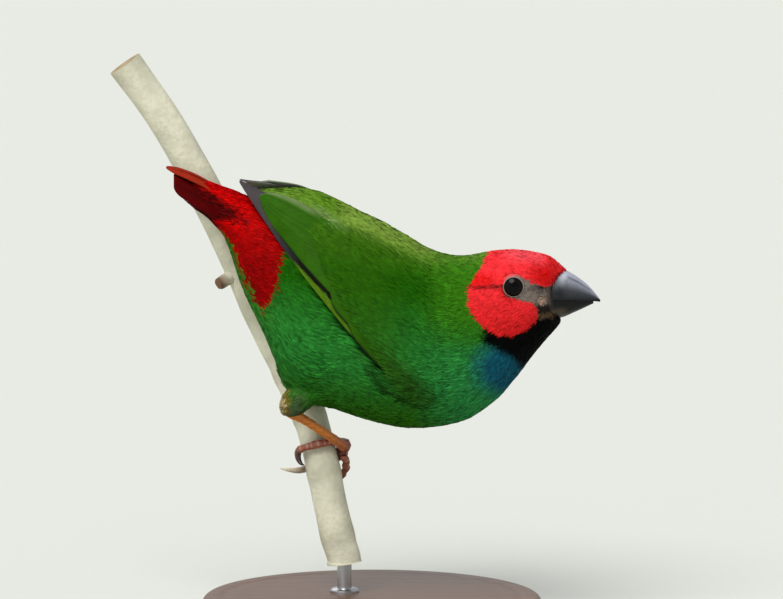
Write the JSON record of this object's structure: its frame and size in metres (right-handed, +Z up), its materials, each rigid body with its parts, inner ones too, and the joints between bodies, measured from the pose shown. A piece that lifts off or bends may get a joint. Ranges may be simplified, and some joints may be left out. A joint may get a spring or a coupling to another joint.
{
  "type": "fiji parrotfinch on a stem perch",
  "caption": "Still life-size green finch with a red face and tail, leaning forward and gripping a slanting stem on a small round stand.",
  "frame": {"origin": "middle of the stand's underside, on the surface that the model rests on", "axes": "+Z up, +X the way the bird faces, +Y its left side"},
  "size_m": [0.1002, 0.07, 0.1158],
  "materials": {
    "plumage_green": "soft overlapping body feathers",
    "plumage_red": "short dense face feathers",
    "wing_feather": "smooth flight feathers, faint sheen",
    "tail_feather": "smooth tail feathers, faint sheen",
    "bill_horn": "dark grey horn, satin",
    "eye_dark": "wet gloss",
    "leg_skin": "scuted skin, satin",
    "stem_bark": "smooth pale bark, matt",
    "stand_steel": "brushed",
    "stand_wood": "oiled turned wood, satin"
  },
  "bodies": {
    "root": {"torso": "plumage_green", "neck": "plumage_green", "head": "plumage_red", "bill_upper": "bill_horn", "bill_lower": "bill_horn", "eye_right": "eye_dark", "eye_left": "eye_dark", "wing_right": "wing_feather", "wing_left": "wing_feather", "tail": "tail_feather", "thigh_right": "plumage_green", "thigh_left": "plumage_green", "shank_right": "leg_skin", "shank_left": "leg_skin", "foot_right": "leg_skin", "foot_left": "leg_skin", "perch_stem": "stem_bark", "stand_rod": "stand_steel", "stand_base": "stand_wood"}
  },
  "joints": []
}
